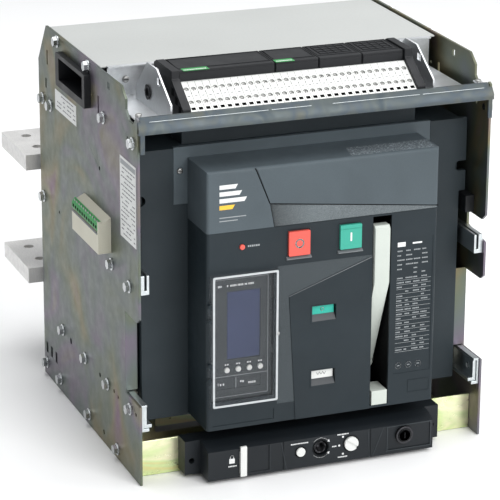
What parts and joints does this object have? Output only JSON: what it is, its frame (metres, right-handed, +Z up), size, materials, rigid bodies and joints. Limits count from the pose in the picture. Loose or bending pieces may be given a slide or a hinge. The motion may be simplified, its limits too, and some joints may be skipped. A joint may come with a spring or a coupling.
{
  "type": "draw-out air circuit breaker",
  "caption": "Three-pole draw-out air circuit breaker in its cradle, with racking unit, charging handle, electronic trip unit, rear terminals and control terminals on top.",
  "frame": {"origin": "centre of the four base mounting holes, on the underside of the base pan", "axes": "+X to the right seen from the front, +Y rearward towards the main terminals, +Z up"},
  "size_m": [0.464, 0.5395, 0.48],
  "materials": {
    "zinc_plate": "yellow-passivated zinc plate, faintly iridescent",
    "bolt_zinc": "bright zinc hexagon bolts",
    "yellow_zinc": "yellow-passivated zinc, iridescent",
    "rail_zinc": "bright passivated zinc",
    "shelf_zinc": "bright zinc sheet",
    "grey_paint": "light grey powder coat",
    "black_plastic": "black moulded plastic",
    "white_plastic": "white moulded plastic",
    "beige_plastic": "beige moulded plastic",
    "green_plastic": "green plug",
    "case_moulding": "dark moulded insulating case",
    "tinned_copper": "tin-plated copper",
    "rack_plastic": "black moulded racking unit",
    "lock_chrome": "polished lock ring",
    "steel_parts": "machined steel",
    "cover_plastic": "dark grey moulded cover",
    "cover_light": "slate grey moulded cover",
    "unit_plastic": "dark trip unit",
    "handle_plastic": "off-white moulded handle",
    "coil_winding": "wound and taped coils",
    "chute_steel": "arc splitter stack",
    "brass_contacts": "brass sliding contacts",
    "green_flag": "teal indicator flag",
    "clear_window": "clear moulded window",
    "red_plastic": "red push button",
    "teal_plastic": "green push button"
  },
  "bodies": {
    "cradle": {"left_side_plate": "zinc_plate", "right_side_plate": "zinc_plate", "plate_bolts": "bolt_zinc", "base_pan": "yellow_zinc", "top_front_rail": "rail_zinc", "terminal_shelf": "shelf_zinc", "top_cover": "grey_paint", "control_modules": "black_plastic", "control_terminal_strip": "white_plastic", "strip_end_caps": "black_plastic", "lifting_grips": "black_plastic", "position_block": "beige_plastic", "position_plug": "green_plastic", "rear_insulating_base": "case_moulding", "upper_terminals": "tinned_copper", "lower_terminals": "tinned_copper", "guide_channels": "rail_zinc", "stop_blocks": "black_plastic", "racking_housing": "rack_plastic", "key_lock_ring": "lock_chrome"},
    "racking_carriage": {"racking_carriage": "steel_parts"},
    "racking_screw": {"racking_screw": "steel_parts"},
    "position_knob": {"position_knob": "white_plastic"},
    "safety_shutter": {"safety_shutter": "beige_plastic"},
    "left_extension_rail": {"left_extension_rail": "rail_zinc"},
    "right_extension_rail": {"right_extension_rail": "rail_zinc"},
    "release_button": {"release_button": "white_plastic"},
    "padlock_tab": {"padlock_tab": "white_plastic"},
    "key_lock_plug": {"key_lock_plug": "black_plastic"},
    "breaker": {"lower_front_cover": "cover_plastic", "upper_front_cover": "cover_light", "back_frame": "cover_light", "side_wings": "case_moulding", "pole_case": "case_moulding", "guide_feet": "beige_plastic", "trip_unit": "unit_plastic", "handle_stop_block": "handle_plastic", "mechanism_frame": "steel_parts", "closing_spring": "steel_parts", "charging_motor": "steel_parts", "release_coils": "coil_winding", "finger_clusters": "tinned_copper", "fixed_contacts": "tinned_copper", "arc_chutes": "chute_steel", "current_transformers": "coil_winding", "secondary_contacts": "brass_contacts"},
    "main_shaft": {"main_shaft": "steel_parts"},
    "moving_contacts": {"moving_contacts": "tinned_copper"},
    "contact_indicator": {"contact_indicator": "green_flag"},
    "spring_indicator": {"spring_indicator": "white_plastic"},
    "cam_shaft": {"cam_shaft": "steel_parts"},
    "charging_handle": {"charging_handle": "handle_plastic"},
    "trip_window": {"trip_window": "clear_window"},
    "off_button": {"off_button": "red_plastic"},
    "on_button": {"on_button": "teal_plastic"},
    "reset_button": {"reset_button": "red_plastic"},
    "menu_key_1": {"menu_key_1": "white_plastic"},
    "menu_key_2": {"menu_key_2": "white_plastic"},
    "menu_key_3": {"menu_key_3": "white_plastic"},
    "menu_key_4": {"menu_key_4": "white_plastic"}
  },
  "joints": [
    {"name": "racking_travel", "type": "slide", "parent": "cradle", "child": "racking_carriage", "axis": [0, -1, 0], "range_m": [0, 0.06]},
    {"name": "racking_screw_turn", "type": "hinge", "parent": "cradle", "child": "racking_screw", "pos_m": [-0.002, -0.215, 0.0257], "axis": [0, 1, 0], "range_deg": [0, 4320]},
    {"name": "position_knob_turn", "type": "hinge", "parent": "cradle", "child": "position_knob", "pos_m": [0.0365, -0.218, 0.0257], "axis": [0, 1, 0], "range_deg": [-90, 0]},
    {"name": "shutter_drop", "type": "slide", "parent": "cradle", "child": "safety_shutter", "axis": [0, 0, -1], "range_m": [0, 0.078]},
    {"name": "breaker_withdrawal", "type": "slide", "parent": "racking_carriage", "child": "breaker", "axis": [0, -1, 0], "range_m": [0, 0.23]},
    {"name": "left_rail_pull", "type": "slide", "parent": "cradle", "child": "left_extension_rail", "axis": [0, -1, 0], "range_m": [0, 0.25]},
    {"name": "right_rail_pull", "type": "slide", "parent": "cradle", "child": "right_extension_rail", "axis": [0, -1, 0], "range_m": [0, 0.25]},
    {"name": "release_button_press", "type": "slide", "parent": "cradle", "child": "release_button", "axis": [0, 1, 0], "range_m": [0, 0.003], "stiffness_N_per_m": 400},
    {"name": "padlock_tab_pull", "type": "slide", "parent": "cradle", "child": "padlock_tab", "axis": [0, -1, 0], "range_m": [0, 0.025]},
    {"name": "key_turn", "type": "hinge", "parent": "cradle", "child": "key_lock_plug", "pos_m": [0.105, -0.218, 0.0267], "axis": [0, 1, 0], "range_deg": [0, 90]},
    {"name": "main_shaft_turn", "type": "hinge", "parent": "breaker", "child": "main_shaft", "pos_m": [0, -0.06, 0.175], "axis": [1, 0, 0], "range_deg": [0, 48]},
    {"name": "contact_swing", "type": "hinge", "parent": "breaker", "child": "moving_contacts", "pos_m": [0, 0.015, 0.15], "axis": [-1, 0, 0], "range_deg": [0, 12]},
    {"name": "contact_indicator_shift", "type": "slide", "parent": "breaker", "child": "contact_indicator", "axis": [1, 0, 0], "range_m": [0, 0.029]},
    {"name": "spring_indicator_shift", "type": "slide", "parent": "breaker", "child": "spring_indicator", "axis": [1, 0, 0], "range_m": [0, 0.029]},
    {"name": "cam_shaft_turn", "type": "hinge", "parent": "breaker", "child": "cam_shaft", "pos_m": [0, -0.1, 0.23], "axis": [1, 0, 0], "continuous": true},
    {"name": "charging_handle_pull", "type": "hinge", "parent": "breaker", "child": "charging_handle", "pos_m": [0.072, -0.163, 0.108], "axis": [1, 0, 0], "range_deg": [0, 70], "stiffness_Nm_per_rad": 0.6, "springref_deg": -34.38},
    {"name": "trip_window_swing", "type": "hinge", "parent": "breaker", "child": "trip_window", "pos_m": [-0.1408, -0.2137, 0.1755], "axis": [0, 0, -1], "range_deg": [0, 105]},
    {"name": "off_button_press", "type": "slide", "parent": "breaker", "child": "off_button", "axis": [0, 1, 0], "range_m": [0, 0.004], "stiffness_N_per_m": 600},
    {"name": "on_button_press", "type": "slide", "parent": "breaker", "child": "on_button", "axis": [0, 1, 0], "range_m": [0, 0.004], "stiffness_N_per_m": 600},
    {"name": "reset_button_press", "type": "slide", "parent": "breaker", "child": "reset_button", "axis": [0, 1, 0], "range_m": [0, 0.002], "stiffness_N_per_m": 400},
    {"name": "menu_key_1_press", "type": "slide", "parent": "breaker", "child": "menu_key_1", "axis": [0, 1, 0], "range_m": [0, 0.0015], "stiffness_N_per_m": 300},
    {"name": "menu_key_2_press", "type": "slide", "parent": "breaker", "child": "menu_key_2", "axis": [0, 1, 0], "range_m": [0, 0.0015], "stiffness_N_per_m": 300},
    {"name": "menu_key_3_press", "type": "slide", "parent": "breaker", "child": "menu_key_3", "axis": [0, 1, 0], "range_m": [0, 0.0015], "stiffness_N_per_m": 300},
    {"name": "menu_key_4_press", "type": "slide", "parent": "breaker", "child": "menu_key_4", "axis": [0, 1, 0], "range_m": [0, 0.0015], "stiffness_N_per_m": 300}
  ],
  "couplings": [
    {"joint": "racking_screw_turn", "follows": "racking_travel", "rad_per_m": 1256.6},
    {"joint": "position_knob_turn", "follows": "racking_travel", "rad_per_m": -26.18},
    {"joint": "shutter_drop", "follows": "racking_travel", "ratio": 1.3},
    {"joint": "contact_swing", "follows": "main_shaft_turn", "ratio": 0.25},
    {"joint": "contact_indicator_shift", "follows": "main_shaft_turn", "m_per_rad": 0.03462}
  ]
}
